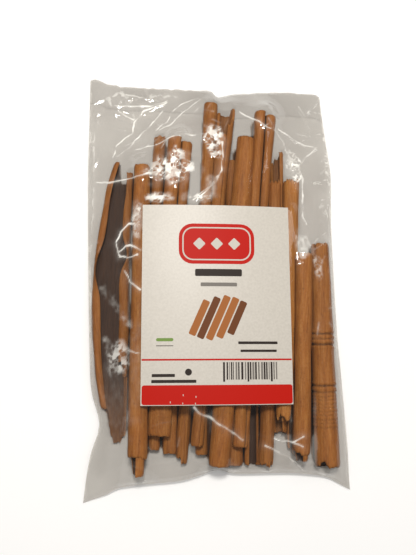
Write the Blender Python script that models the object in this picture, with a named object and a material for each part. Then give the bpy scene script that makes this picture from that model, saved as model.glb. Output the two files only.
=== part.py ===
"""A clear sealed bag of cinnamon quills, lying on its back with its paper label up.

Two solids make the pack. The bag is the filled film: flat below, drawn tight over the quills above,
thin at its seams, with a pointed corner at each end of the bottom seal and a folded top. The label
is a thin sheet stuck on the front of the film.

The pack lies on z = 0 with +Y towards the folded top and the origin under the middle of its box.
"""

import bmesh
import bpy
import numpy as np

MM = 0.001

# The label is three inches by four, and its centre is where every place below is measured from, in mm.
LABEL_WIDTH = 76.2
LABEL_HEIGHT = 101.6
LABEL_THICKNESS = 0.4
LABEL_GAP = 0.3
LABEL_ARCH = 0.0014
LABEL_CREST_X = -8.0
LABEL_BACKING = 3.0
LABEL_COLUMNS = 25
LABEL_ROWS = 9

# The four sides of the bag as it lies, each from one corner to the next.
LEFT_SEAM = (
    (-67.1, -99.5), (-65.5, -86.3), (-63.3, -74.5), (-59.5, -62.5), (-60.6, -54.5), (-64.2, -42.0),
    (-65.8, -15.0), (-67.4, 28.7), (-68.5, 66.6), (-69.0, 97.0), (-69.0, 128.5),
)
RIGHT_SEAM = (
    (70.4, -95.6), (69.0, -72.1), (67.2, -38.0), (65.7, -8.0), (65.0, 42.0),
    (66.0, 71.3), (65.0, 88.9), (62.6, 114.0), (61.9, 122.0),
)
BOTTOM_SEAL = (
    (-67.1, -99.5), (-56.0, -95.6), (-46.3, -91.4), (-19.4, -89.2), (-9.8, -87.0), (1.4, -83.9),
    (9.8, -86.0), (39.2, -86.2), (56.5, -88.4), (65.8, -93.1), (70.4, -95.6),
)
TOP_FOLD = (
    (-69.0, 128.5), (-65.5, 129.3), (-51.5, 125.8), (-15.0, 124.8), (-1.8, 124.5), (3.4, 121.0),
    (15.1, 123.2), (38.3, 124.7), (57.5, 124.1), (61.9, 122.0),
)

# Each quill: top end, bottom end, sideways bow at its middle, and its radii spread evenly down it.
# They are listed from the floor up, in the order in which they come to rest on each other.
QUILLS = (
    ("wide_bark_left", (-51.0, 79.0), (-56.0, -52.0), -7.8, (3.2, 3.2)),
    ("wide_bark_right", (-46.2, 74.0), (-47.8, -69.0), -0.8, (2.2, 2.4)),
    ("under_left", (-39.2, 60.0), (-38.6, -70.0), 0.0, (3.7, 3.9)),
    ("slim_left", (-29.6, 94.6), (-31.4, -74.0), -1.8, (3.3, 2.9, 2.8)),
    ("under_label_left", (-22.5, 44.0), (-24.6, -75.7), 0.0, (3.4, 3.4)),
    ("tall_middle", (-1.3, 114.4), (-7.5, -76.4), -1.2, (3.7, 3.5, 3.2)),
    ("dark_middle", (10.6, 80.7), (9.5, -82.0), 0.0, (4.2, 4.2)),
    ("open_low", (21.0, 45.0), (18.2, -82.0), 0.0, (3.4, 3.5)),
    ("open_thin", (35.2, 86.4), (33.3, -66.0), 0.0, (3.6, 3.6)),
    ("under_right", (47.8, 20.0), (45.0, -67.0), 0.0, (3.6, 3.6)),
    ("thick_right", (57.5, 34.4), (57.0, -83.6), -0.4, (4.7, 5.5, 5.9, 6.2, 6.6)),
    ("sliver_right", (39.6, -30.0), (39.6, -74.0), 0.0, (2.2, 2.2)),
    ("long_left", (-39.0, 75.2), (-39.6, -85.0), 0.0, (4.2, 4.6, 5.0)),
    ("double_left", (-18.3, 90.4), (-28.4, -66.5), -0.8, (4.9, 4.6)),
    ("short_middle", (-14.5, 40.0), (-18.0, -80.9), 0.0, (3.0, 3.0)),
    ("curled_middle", (7.0, 110.2), (-10.0, -71.6), 0.0, (4.9, 4.0, 3.3, 3.1, 3.1)),
    ("round_middle", (16.9, 90.6), (0.7, -81.0), 0.0, (4.6, 5.6, 5.5, 5.3, 5.2)),
    ("double_right", (28.2, 106.2), (11.6, -72.0), 0.0, (5.5, 4.7, 4.2, 3.9, 3.6)),
    ("short_right", (32.8, 68.1), (26.4, -83.0), 0.6, (3.3, 3.9)),
    ("jagged_right", (42.6, 70.2), (33.8, -59.0), 0.4, (4.4, 3.7)),
    ("round_right", (46.9, 27.2), (43.2, -76.6), 0.0, (4.7, 4.4, 4.3)),
)
REST_CLEARANCE = 0.9
# A curled stick is a little flatter than round, so two of them touch somewhat closer than their radii.
SNUG = 0.93
STEEPEST_RISE = 12.0
RISE_STEPS = 241
# Of two lines that stand equally high the flatter one is taken.
PULL_TO_LEVEL = 0.002
FILM_CLEARANCE = 0.4
QUILL_SAMPLES = 41

# The film where nothing fills it, and how its seam stands off the floor round the bag.
SEAM_THICKNESS = 1.0
SEAM_HEIGHT_SIDE = 4.5
SEAM_HEIGHT_BOTTOM = 4.8
SEAM_HEIGHT_FLAT = 1.1
CORNER_REACH = 26.0
FLAT_TOP_FROM = 62.0
FLAT_TOP_TO = 104.0
UNDERSIDE_TURN = 10.0

# Grid of the front and back sheets, the passes that pull the film taut, and how far each lets it sag.
ACROSS = 54
ALONG = 46
TAUT_PASSES = 900
SAG = 0.07

COLLECTION_NAME = "cinnamon_pack"
FILM_COLOUR = (0.60, 0.57, 0.53, 1.0)
PAPER_COLOUR = (0.78, 0.76, 0.71, 1.0)


def clear_scene():
    for item in list(bpy.data.objects):
        bpy.data.objects.remove(item, do_unlink=True)


def smoothstep(values):
    eased = np.clip(values, 0.0, 1.0)
    return eased * eased * (3.0 - 2.0 * eased)


def even_curve(points, count):
    """Count + 1 points, evenly spaced, on a smooth curve through the given ones."""
    knots = np.array(points, float)
    padded = np.vstack([2.0 * knots[0] - knots[1], knots, 2.0 * knots[-1] - knots[-2]])
    steps = np.linspace(0.0, 1.0, 12, endpoint=False)[:, None]
    pieces = []
    for before, start, end, after in zip(padded, padded[1:], padded[2:], padded[3:]):
        pull_out = 0.5 * (end - before)
        pull_in = 0.5 * (after - start)
        pieces.append(
            (2 * steps**3 - 3 * steps**2 + 1) * start
            + (steps**3 - 2 * steps**2 + steps) * pull_out
            + (3 * steps**2 - 2 * steps**3) * end
            + (steps**3 - steps**2) * pull_in
        )
    dense = np.vstack(pieces + [knots[-1:]])
    travelled = np.concatenate([[0.0], np.cumsum(np.linalg.norm(np.diff(dense, axis=0), axis=1))])
    wanted = np.linspace(0.0, travelled[-1], count + 1)
    return np.stack([np.interp(wanted, travelled, dense[:, axis]) for axis in (0, 1)], axis=1)


def bag_plan():
    """Plan places of the sheet's grid, rows from the bottom seal to the top fold."""
    bottom, top = even_curve(BOTTOM_SEAL, ACROSS), even_curve(TOP_FOLD, ACROSS)
    left, right = even_curve(LEFT_SEAM, ALONG), even_curve(RIGHT_SEAM, ALONG)
    u = np.linspace(0.0, 1.0, ACROSS + 1)[None, :, None]
    v = np.linspace(0.0, 1.0, ALONG + 1)[:, None, None]
    corners = (
        (1 - u) * (1 - v) * bottom[0] + u * (1 - v) * bottom[-1] + (1 - u) * v * top[0] + u * v * top[-1]
    )
    return (1 - v) * bottom[None] + v * top[None] + (1 - u) * left[:, None] + u * right[:, None] - corners


def quill_line(quill):
    """Points down a quill's middle in plan, and its radius at each."""
    _, top, bottom, bow, radii = quill
    share = np.linspace(0.0, 1.0, QUILL_SAMPLES)
    x = top[0] + (bottom[0] - top[0]) * share + 4.0 * bow * share * (1.0 - share)
    y = top[1] + (bottom[1] - top[1]) * share
    return np.stack([x, y], axis=1), np.interp(share, np.linspace(0.0, 1.0, len(radii)), radii)


def resting_height(needed):
    """The straight line over all the needed heights that is lowest at its middle."""
    from_middle = np.linspace(-0.5, 0.5, QUILL_SAMPLES)
    rises = np.linspace(-STEEPEST_RISE, STEEPEST_RISE, RISE_STEPS)
    lifted = (needed[None] - rises[:, None] * from_middle).max(axis=1)
    best = np.argmin(lifted + PULL_TO_LEVEL * np.abs(rises))
    return lifted[best] + rises[best] * from_middle


def settled_quills():
    """Each quill as name, plan points, heights of its middle and radii, laid down one by one."""
    laid = []
    for quill in QUILLS:
        plan, radius = quill_line(quill)
        needed = radius + REST_CLEARANCE
        for _, other_plan, other_height, other_radius in laid:
            apart = np.linalg.norm(plan[:, None] - other_plan[None], axis=2)
            reach = (radius[:, None] + other_radius[None]) * SNUG
            lift = other_height[None] + np.sqrt(np.maximum(reach**2 - apart**2, 0.0))
            needed = np.maximum(needed, np.where(apart < reach, lift, 0.0).max(axis=1))
        laid.append((quill[0], plan, resting_height(needed), radius))
    return laid


def height_over_quills(laid, plan):
    """The highest quill surface above each plan place, or zero."""
    places = plan.reshape(-1, 2)
    highest = np.zeros(len(places))
    for _, line, height, radius in laid:
        dense = np.linspace(0.0, QUILL_SAMPLES - 1.0, 4 * QUILL_SAMPLES)
        index = np.arange(QUILL_SAMPLES)
        middle = np.stack([np.interp(dense, index, line[:, axis]) for axis in (0, 1)], axis=1)
        level = np.interp(dense, index, height)
        reach = np.interp(dense, index, radius)
        apart = np.linalg.norm(places[:, None] - middle[None], axis=2)
        nearest = apart.argmin(axis=1)
        distance = apart[np.arange(len(places)), nearest]
        inside = distance < reach[nearest]
        rise = np.sqrt(np.maximum(reach[nearest] ** 2 - distance**2, 0.0))
        highest = np.maximum(highest, np.where(inside, level[nearest] + rise, 0.0))
    return highest.reshape(plan.shape[:2])


def label_shape(plan):
    return -LABEL_ARCH * (plan[..., 0] - LABEL_CREST_X) ** 2


def under_label(plan):
    half = np.array([LABEL_WIDTH, LABEL_HEIGHT]) / 2.0 + LABEL_BACKING
    return (np.abs(plan) <= half).all(axis=2)


def seam_height(plan):
    """How high the seam stands, blended over the whole plan so that the sheet's rim can read it."""
    x, y = plan[..., 0], plan[..., 1]
    flat_top = smoothstep((y - FLAT_TOP_FROM) / (FLAT_TOP_TO - FLAT_TOP_FROM))
    height = SEAM_HEIGHT_SIDE + (SEAM_HEIGHT_FLAT - SEAM_HEIGHT_SIDE) * flat_top
    height = np.where(y < BOTTOM_SEAL[3][1], SEAM_HEIGHT_BOTTOM, height)
    for corner in (BOTTOM_SEAL[0], BOTTOM_SEAL[-1]):
        away = np.hypot(x - corner[0], y - corner[1])
        height = SEAM_HEIGHT_FLAT + (height - SEAM_HEIGHT_FLAT) * smoothstep(away / CORNER_REACH)
    return height


def taut_film(plan, laid):
    """Height of the front sheet: pinned at the seam, flat under the label, drawn tight over the rest."""
    quills = height_over_quills(laid, plan)
    covered = under_label(plan)
    label_level = (quills - label_shape(plan))[covered].max() + FILM_CLEARANCE
    backing = label_level + label_shape(plan)
    rim = seam_height(plan) + SEAM_THICKNESS / 2.0
    floor = np.where(quills > 0.0, quills + FILM_CLEARANCE, rim.min())
    height = np.maximum(floor, rim)
    across = (np.diff(plan[..., 0], axis=1).mean()) ** -2
    along = (np.diff(plan[..., 1], axis=0).mean()) ** -2
    for _ in range(TAUT_PASSES):
        inner = across * (height[1:-1, :-2] + height[1:-1, 2:]) + along * (height[:-2, 1:-1] + height[2:, 1:-1])
        height[1:-1, 1:-1] = np.maximum(inner / (2.0 * (across + along)) - SAG, floor[1:-1, 1:-1])
        height = np.where(covered, backing, height)
    return height, label_level


def underside(plan):
    """Height of the back sheet: flat on the ground, and turned up to the seam round its rim."""
    x, y = plan[..., 0], plan[..., 1]
    inward = np.minimum.reduce([x - x[:, :1], x[:, -1:] - x, y - y[:1], y[-1:] - y])
    rim = seam_height(plan) - SEAM_THICKNESS / 2.0
    return rim * (1.0 - smoothstep(inward / UNDERSIDE_TURN))


def sheet_solid(name, plan, above, below, material, collection):
    """A closed solid from a grid: the front sheet, and the same grid drawn down to the back sheet."""
    rows, columns = above.shape
    sheet = bmesh.new()
    bmesh.ops.create_grid(sheet, x_segments=columns - 1, y_segments=rows - 1, size=0.5)
    sheet.verts.ensure_lookup_table()
    for vertex in sheet.verts:
        column = int(round((vertex.co.x + 0.5) * (columns - 1)))
        row = int(round((vertex.co.y + 0.5) * (rows - 1)))
        vertex.co = (*plan[row, column], above[row, column])
        vertex.index = row * columns + column
    front = {vertex: divmod(vertex.index, columns) for vertex in sheet.verts}
    places = {tuple(vertex.co.xy): place for vertex, place in front.items()}
    drawn = bmesh.ops.extrude_face_region(sheet, geom=sheet.faces[:], use_keep_orig=True)["geom"]
    back = [item for item in drawn if isinstance(item, bmesh.types.BMVert)]
    for vertex in back:
        vertex.co.z = below[places[tuple(vertex.co.xy)]]
    flat = {vertex for vertex in back if vertex.co.z == 0.0}
    level_edges = [edge for edge in sheet.edges if flat.issuperset(edge.verts)]
    bmesh.ops.dissolve_limit(sheet, angle_limit=0.001, verts=list(flat), edges=level_edges)
    bmesh.ops.recalc_face_normals(sheet, faces=sheet.faces[:])
    bmesh.ops.scale(sheet, vec=(MM, MM, MM), verts=sheet.verts[:])
    mesh = bpy.data.meshes.new(name)
    sheet.to_mesh(mesh)
    sheet.free()
    mesh.materials.append(material)
    mesh.shade_smooth()
    solid = bpy.data.objects.new(name, mesh)
    collection.objects.link(solid)
    return solid


def plain_material(name, colour, roughness):
    material = bpy.data.materials.new(name)
    material.use_nodes = True
    shader = material.node_tree.nodes["Principled BSDF"]
    shader.inputs["Base Color"].default_value = colour
    shader.inputs["Roughness"].default_value = roughness
    shader.inputs["Metallic"].default_value = 0.0
    return material


def build():
    clear_scene()
    collection = bpy.data.collections.new(COLLECTION_NAME)
    bpy.context.scene.collection.children.link(collection)

    plan = bag_plan()
    laid = settled_quills()
    front, label_level = taut_film(plan, laid)
    middle = (plan.reshape(-1, 2).min(axis=0) + plan.reshape(-1, 2).max(axis=0)) / 2.0
    film = plain_material("film", FILM_COLOUR, 0.12)
    sheet_solid("bag", plan - middle, front, underside(plan), film, collection)

    label_x = np.linspace(-LABEL_WIDTH / 2.0, LABEL_WIDTH / 2.0, LABEL_COLUMNS)
    label_y = np.linspace(-LABEL_HEIGHT / 2.0, LABEL_HEIGHT / 2.0, LABEL_ROWS)
    label_plan = np.stack(np.meshgrid(label_x, label_y), axis=2)
    label_back = label_level + label_shape(label_plan) + LABEL_GAP
    paper = plain_material("paper", PAPER_COLOUR, 0.5)
    sheet_solid("label", label_plan - middle, label_back + LABEL_THICKNESS, label_back, paper, collection)


build()
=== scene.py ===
# %% [markdown]
# # A clear bag of cinnamon sticks
# The pack is a pillow bag of clear polypropylene film, filled with long rolled strips of cassia bark and
# marked with a paper label on its front. It lies on its back and is seen from above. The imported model
# gives two solids, the filled bag and the label. Here the bag's solid gives way to what it stands for:
# the sticks one by one, the film drawn over them, and the ink on the paper. First the model is loaded,
# because every piece is placed from its boxes.

import bpy
import numpy as np
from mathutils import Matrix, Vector
from mathutils.bvhtree import BVHTree


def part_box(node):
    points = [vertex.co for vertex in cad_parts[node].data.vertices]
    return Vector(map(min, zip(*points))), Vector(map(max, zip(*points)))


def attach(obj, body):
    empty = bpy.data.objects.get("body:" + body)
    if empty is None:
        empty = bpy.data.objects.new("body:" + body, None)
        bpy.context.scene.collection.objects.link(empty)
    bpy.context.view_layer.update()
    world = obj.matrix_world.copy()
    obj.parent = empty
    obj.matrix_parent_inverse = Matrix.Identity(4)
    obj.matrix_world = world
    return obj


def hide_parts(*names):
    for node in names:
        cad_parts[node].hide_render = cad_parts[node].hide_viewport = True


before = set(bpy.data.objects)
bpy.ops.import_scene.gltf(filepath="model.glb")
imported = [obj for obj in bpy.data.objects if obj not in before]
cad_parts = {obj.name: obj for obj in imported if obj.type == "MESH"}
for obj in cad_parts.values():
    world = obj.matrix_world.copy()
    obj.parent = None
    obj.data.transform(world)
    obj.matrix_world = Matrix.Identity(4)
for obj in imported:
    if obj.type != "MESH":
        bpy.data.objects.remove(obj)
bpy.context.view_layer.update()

MM = 0.001
bag_low, bag_high = (np.array(corner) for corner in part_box("bag"))
label_low, label_high = (np.array(corner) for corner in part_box("label"))
label_centre = (label_low + label_high)[:2] / 2
print("bag, mm:", np.round((bag_high - bag_low) / MM, 1))
print("label, mm:", np.round((label_high - label_low) / MM, 1))

# %% [markdown]
# Plan places are easiest to read off the label, so every number below is in millimetres from the
# label's centre, with +Y towards the top fold and z = 0 on the table. Two helpers turn such points into
# world metres and into a mesh. Most shapes here are sheets, so one more lists the faces of a grid, and
# the last one closes two such grids, an outer and an inner face, into a sheet with a thickness.

# %% Points and meshes
SHARP_EDGE = 48


def to_world(points):
    """Millimetres from the label's centre to world metres."""
    points = np.asarray(points, float) * MM
    return points + np.array([label_centre[0], label_centre[1], 0.0])


def grid_faces(rows, columns, closed=False):
    """The quads of a grid of points, row by row. A closed grid joins its last column to its first."""
    row = np.arange(rows - 1)[:, None]
    column = np.arange(columns if closed else columns - 1)[None]
    after = (column + 1) % columns
    corners = (row * columns + column, row * columns + after)
    return np.stack([*corners, corners[1] + columns, corners[0] + columns], axis=2).reshape(-1, 4)


def make_piece(name, points, faces, material, replaced="bag"):
    """A smooth mesh piece that rides on the pack and stands for the solid it replaces."""
    mesh = bpy.data.meshes.new(name)
    mesh.from_pydata(to_world(points).tolist(), [], [list(map(int, face)) for face in faces])
    mesh.materials.append(material)
    mesh.shade_smooth()
    piece = bpy.data.objects.new(name, mesh)
    bpy.context.scene.collection.objects.link(piece)
    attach(piece, "root")
    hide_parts(replaced)
    return piece


def shell(name, outer, inner, material, replaced="bag"):
    """A closed piece between two grids of points: the outer and the inner face of a sheet."""
    rows, columns = outer.shape[:2]
    points = np.concatenate([outer, inner[:, ::-1]], axis=1).reshape(-1, 3)
    near = np.arange(columns - 1)
    far = 2 * columns - 1 - near
    top_end = np.stack([near, far, far - 1, near + 1], axis=1)
    bottom_end = top_end[:, ::-1] + (rows - 1) * 2 * columns
    faces = np.concatenate([grid_faces(rows, 2 * columns, closed=True), top_end, bottom_end])
    first, second, third, fourth = (points[faces[:, corner]] for corner in range(4))
    if np.sum(np.cross(second - first, third - first) * (first + fourth)) < 0:
        faces = faces[:, ::-1]
    piece = make_piece(name, points, faces, material, replaced)
    piece.data.set_sharp_from_angle(angle=np.radians(SHARP_EDGE))
    return piece


# %% [markdown]
# Natural things are uneven in a smooth way. A table of random numbers, blended between its knots, gives
# a height for any place: the same each time, because its seed is fixed.

# %% Smooth unevenness
KNOTS = 97


def unevenness(a, b, seed):
    """Smooth random values from -1 to 1 over two coordinates, with a knot at each whole number."""
    table = np.random.default_rng(seed).uniform(-1.0, 1.0, (KNOTS, KNOTS))
    a, b = np.broadcast_arrays(np.asarray(a, float), np.asarray(b, float))
    i, j = np.floor(a).astype(int), np.floor(b).astype(int)
    s, t = a - i, b - j
    s, t = s * s * (3 - 2 * s), t * t * (3 - 2 * t)
    low = table[i % KNOTS, j % KNOTS] * (1 - s) + table[(i + 1) % KNOTS, j % KNOTS] * s
    high = table[i % KNOTS, (j + 1) % KNOTS] * (1 - s) + table[(i + 1) % KNOTS, (j + 1) % KNOTS] * s
    return low * (1 - t) + high * t


def ease(values):
    """0 below 0, 1 above 1, and a smooth step between."""
    values = np.clip(values, 0.0, 1.0)
    return values * values * (3 - 2 * values)


# %% [markdown]
# ## Camera, light and table
# The pack was photographed from above by hand, a little below and to the left of its middle, so its top
# and right edges run away slightly. The lens is given as the photograph's own field of view.
# The main softbox hangs over the top end. It draws the bright lines along the film's creases and the
# sheen on the label. A weaker one to the right serves the other slopes of the film. A wide ceiling
# light fills the shadows, and the film doesn't mirror it.

# %% The camera
PHOTO_LONG_SIDE = 555
LENS_PIXELS = 600.0
CAMERA_PLACE = (-25.9, -35.8, 321.4)
CAMERA_TILT = (9.2, -4.0, 0.3)

camera_data = bpy.data.cameras.new("camera")
camera_data.sensor_width = 36.0
camera_data.lens = LENS_PIXELS / PHOTO_LONG_SIDE * camera_data.sensor_width
camera = bpy.data.objects.new("camera", camera_data)
camera.rotation_mode = "ZYX"
camera.location = to_world(CAMERA_PLACE)
camera.rotation_euler = [np.radians(angle) for angle in CAMERA_TILT]
bpy.context.scene.collection.objects.link(camera)
bpy.context.scene.camera = camera
print("camera lens, mm:", round(camera_data.lens, 1))


# %% Colour and nodes
def linear(colour, alpha=1.0):
    """An sRGB hex colour as the linear numbers that shaders take."""
    parts = [int(colour[i : i + 2], 16) / 255 for i in (1, 3, 5)]
    return (*[c / 12.92 if c <= 0.04045 else ((c + 0.055) / 1.055) ** 2.4 for c in parts], alpha)


def new_material(name):
    """A material with no nodes yet."""
    material = bpy.data.materials.new(name)
    material.use_nodes = True
    material.node_tree.nodes.clear()
    return material


def add(material, kind, links=None, values=None, stops=(), **settings):
    """Adds a node with its settings, input values, incoming links and, on a ramp, its colour stops."""
    made = material.node_tree.nodes.new("ShaderNode" + kind)
    for key, value in settings.items():
        setattr(made, key, value)
    for key, value in (values or {}).items():
        made.inputs[key].default_value = value
    for key, source in (links or {}).items():
        material.node_tree.links.new(source, made.inputs[key])
    if stops:
        points = made.color_ramp.elements
        while len(points) < len(stops):
            points.new(0.5)
        for point, (place, colour) in zip(points, stops):
            point.position, point.color = place, linear(colour)
    return made


# %% The softboxes
def softbox(name, place, aim, side, watts, colour, mirrored=True):
    """A rectangular lamp: where it hangs, what it faces, its sides, its power and its colour."""
    light = bpy.data.lights.new(name, "AREA")
    light.shape, light.size, light.size_y = "RECTANGLE", side[0] * MM, side[1] * MM
    light.energy, light.color = watts, linear(colour)[:3]
    lamp = bpy.data.objects.new(name, light)
    lamp.visible_glossy = mirrored
    lamp.location = to_world(place)
    lamp.rotation_euler = (Vector(to_world(aim)) - lamp.location).to_track_quat("-Z", "Y").to_euler()
    bpy.context.scene.collection.objects.link(lamp)


softbox("key_softbox", (-24, 196, 640), (-10, 30, 10), (90, 90), 2.9, "#FFFBF5")
softbox("right_softbox", (420, 180, 420), (30, 20, 10), (90, 260), 0.3, "#FFFBF5")
softbox("ceiling", (0, 20, 880), (0, 0, 10), (1000, 1000), 2.6, "#FFFCF8", mirrored=False)
print(len(bpy.data.lights), "lamps")

world = bpy.data.worlds.new("studio")
bpy.context.scene.world = world
world.use_nodes = True
world.node_tree.nodes["Background"].inputs["Color"].default_value = linear("#FFFFFF")
world.node_tree.nodes["Background"].inputs["Strength"].default_value = 0.3
bpy.context.scene.view_settings.view_transform = "Standard"

# %% [markdown]
# The table is a sheet of matt card, almost white, with a breath of unevenness in its tone so that it
# doesn't look like a cut-out.

# %% The table
card = new_material("matt white card")
mottle = add(card, "TexNoise", values={"Scale": 14.0, "Detail": 3.0})
CARD_TONES = ((0.3, "#F4F4F4"), (0.7, "#FAFAFA"))
card_tone = add(card, "ValToRGB", {"Fac": mottle.outputs["Fac"]}, stops=CARD_TONES)
card_shader = add(card, "BsdfPrincipled", {"Base Color": card_tone.outputs["Color"]}, {"Roughness": 0.85})
add(card, "OutputMaterial", {"Surface": card_shader.outputs["BSDF"]})

TABLE_REACH, TABLE_DROP = 3000.0, 0.2
table_mesh = bpy.data.meshes.new("table")
table_corners = [(-1, -1), (1, -1), (1, 1), (-1, 1)]
table_places = [(x * TABLE_REACH * MM, y * TABLE_REACH * MM, 0) for x, y in table_corners]
table_mesh.from_pydata(table_places, [], [(0, 1, 2, 3)])
table_mesh.materials.append(card)
table = bpy.data.objects.new("table", table_mesh)
table.location.z = -TABLE_DROP * MM
bpy.context.scene.collection.objects.link(table)
print("table, mm:", 2 * TABLE_REACH, "wide")

# %% [markdown]
# ## The sticks
# Cassia bark is peeled off the branch in strips, scraped smooth outside, and dried. Drying curls each
# strip, mostly from both edges at once, which gives the double scroll with a crack along its middle,
# and sometimes from one edge, which gives a plain roll. A stick is therefore a sheet with a curling
# cross-section, and that is how each one is modelled here: a strip whose curvature is a formula, swept
# from end to end, rather than a cylinder with a hole.
#
# Each stick has the place it has in the photograph: its two ends in plan, a sideways bow, and its
# radius at even steps from its top end to its bottom end. Where only its ends show, the middle of it
# is a straight run between them under the label.

# %% Where the sticks lie
QUILLS = {
    "wide_bark_left": dict(top=(-51.0, 79.0), bottom=(-56.0, -52.0), bow=-7.8, radius=(3.2, 3.2)),
    "wide_bark_right": dict(top=(-46.2, 74.0), bottom=(-47.8, -70.5), bow=-0.8, radius=(2.2, 2.4)),
    "under_left": dict(top=(-39.2, 60.0), bottom=(-38.6, -70.0), radius=(3.7, 3.9)),
    "slim_left": dict(top=(-29.6, 94.6), bottom=(-31.4, -74.0), bow=-1.8, radius=(3.3, 2.9, 2.8)),
    "under_label_left": dict(top=(-22.5, 44.0), bottom=(-23.7, -75.7), radius=(3.4, 3.4)),
    "tall_middle": dict(top=(-1.3, 114.4), bottom=(-7.5, -76.4), bow=-1.2, radius=(3.7, 3.5, 3.2)),
    "dark_middle": dict(top=(10.6, 80.7), bottom=(9.5, -82.0), radius=(4.2, 4.2)),
    "open_low": dict(top=(21.0, 45.0), bottom=(18.2, -82.0), radius=(3.4, 3.5)),
    "open_thin": dict(top=(35.2, 86.4), bottom=(33.3, -66.0), radius=(3.6, 3.6)),
    "under_right": dict(top=(47.8, 20.0), bottom=(45.0, -67.0), radius=(3.6, 3.6)),
    "thick_right": dict(top=(57.5, 34.4), bottom=(57.0, -83.6), bow=-0.4, radius=(4.7, 5.5, 5.9, 6.2, 6.6)),
    "sliver_right": dict(top=(39.6, -30.0), bottom=(39.6, -74.0), radius=(2.2, 2.2)),
    "long_left": dict(top=(-39.0, 75.2), bottom=(-39.6, -85.0), radius=(4.2, 4.6, 5.0)),
    "double_left": dict(top=(-18.3, 90.4), bottom=(-28.9, -66.5), bow=-0.8, radius=(4.9, 4.2)),
    "short_middle": dict(top=(-9.4, 40.0), bottom=(-17.7, -80.9), radius=(3.0, 3.0)),
    "curled_middle": dict(top=(7.0, 110.2), bottom=(-10.0, -71.6), radius=(4.9, 4.0, 3.3, 3.1, 3.1)),
    "round_middle": dict(top=(16.9, 90.6), bottom=(0.7, -81.0), radius=(4.6, 5.6, 5.5, 5.3, 5.2)),
    "double_right": dict(top=(28.2, 106.2), bottom=(11.6, -72.0), radius=(5.5, 4.7, 4.2, 3.9, 3.6)),
    "short_right": dict(top=(32.8, 68.1), bottom=(25.3, -83.0), bow=0.6, radius=(3.3, 3.6)),
    "jagged_right": dict(top=(42.6, 70.2), bottom=(33.8, -59.0), bow=0.4, radius=(4.4, 3.7)),
    "round_right": dict(top=(46.9, 27.2), bottom=(42.8, -79.6), radius=(4.7, 4.4, 4.3)),
}
print(len(QUILLS), "quill lines")

# %% [markdown]
# The sticks were tipped into the bag and settled, lower ones first. Each is laid in the order of the
# list on the straight line that rests on whatever is already under it, so none passes through another.

# %% Settling them
REST_CLEARANCE = 0.9
STEEPEST = 12.0
PULL_TO_LEVEL = 0.002
SNUG = 0.93
SAMPLES = 41
share = np.linspace(0.0, 1.0, SAMPLES)


def quill_line(quill):
    """Places down a quill's middle in plan, from top to bottom, and its radius at each."""
    top, bottom, radius = quill["top"], quill["bottom"], quill["radius"]
    x = top[0] + (bottom[0] - top[0]) * share + 4 * quill.get("bow", 0.0) * share * (1 - share)
    y = top[1] + (bottom[1] - top[1]) * share
    return np.stack([x, y], axis=1), np.interp(share, np.linspace(0, 1, len(radius)), radius)


def resting_height(needed):
    """The straight line over all the needed heights that is lowest at its middle."""
    from_middle = share - 0.5
    slopes = np.linspace(-STEEPEST, STEEPEST, 241)
    lifted = (needed[None] - slopes[:, None] * from_middle).max(axis=1)
    best = np.argmin(lifted + PULL_TO_LEVEL * np.abs(slopes))
    return lifted[best] + slopes[best] * from_middle


laid = {}
for name, quill in QUILLS.items():
    plan, radius = quill_line(quill)
    needed = radius + REST_CLEARANCE
    for other_plan, other_height, other_radius in laid.values():
        apart = np.linalg.norm(plan[:, None] - other_plan[None], axis=2)
        reach = (radius[:, None] + other_radius[None]) * SNUG
        lift = other_height[None] + np.sqrt(np.maximum(reach**2 - apart**2, 0.0))
        needed = np.maximum(needed, np.where(apart < reach, lift, 0.0).max(axis=1))
    laid[name] = (plan, resting_height(needed), radius)
print("highest quill, mm:", round(max((height + radius).max() for _, height, radius in laid.values()), 1))

# %% [markdown]
# Now the curl. Walking across the strip, the direction turns little over its back and more and more
# towards its edges, so each edge winds into a scroll. For a plain roll the turning grows steadily from
# the outer edge to the inner one. `turning` is that direction, and adding up its steps gives the shape.

# %% The curl of a strip
ACROSS = 60
across = np.linspace(-1.0, 1.0, ACROSS)
CURLS = {
    "double": ("scrolls", 1.62, 1.55),
    "round": ("roll", 2.55, 0.30),
    "tight": ("roll", 3.1, 0.45),
    "open": ("scrolls", 0.86, 1.30),
    "single": ("roll", 2.1, 0.15),
    "wide": ("scrolls", 1.28, 2.30),
    "shallow": ("scrolls", 0.42, 1.20),
}


def turning(curl, more=1.0):
    """The direction of the strip at each place across it, in radians."""
    kind, half_turns, growth = CURLS[curl]
    if kind == "scrolls":
        return np.pi * half_turns * more * np.sign(across) * np.abs(across) ** growth
    along = (across + 1) / 2
    return np.pi * half_turns * more * (along + growth * along**2) / (1 + growth)


def curl_section(curl, more, turn, room):
    """The strip's middle line across one section, as (x, z) points, and which way is inward at each."""
    heading = turning(curl, more) + turn
    path = np.cumsum(np.stack([np.cos(heading), np.sin(heading)], axis=1), axis=0)
    low, high = path.min(axis=0), path.max(axis=0)
    path = (path - (low + high) / 2) / (high - low) * room
    step = np.gradient(path, axis=0)
    step /= np.linalg.norm(step, axis=1, keepdims=True)
    inward = np.stack([-step[:, 1], step[:, 0]], axis=1)
    return path, inward


# %% [markdown]
# A stick's skin is not smooth: it has fine ribs along its length, broader dents, and in places the
# rings of old leaf scars. The first two come from `unevenness` stretched along the stick, the rings from
# bumps at given places. The outer and inner faces get different amounts. The strip's ends are torn by
# moving each point of the end along the stick, and the last half millimetre draws in, so that the
# broken edge looks worn and not cut. Where the rings sink in, the bark is darker by their depth. The
# crack between two scrolls is deep and narrow, so its shade is painted into the bark: a dark share at
# places found by how near one scroll's face is to the other's.

# %% The skin and the torn ends
def ring_relief(y, rings):
    """How far leaf-scar rings stand out at each place along a stick: (place, height, half width)."""
    relief = np.zeros_like(y)
    for place, height, half_width in rings:
        relief += height * np.exp(-(((y - place) / half_width) ** 2))
    return relief


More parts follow.
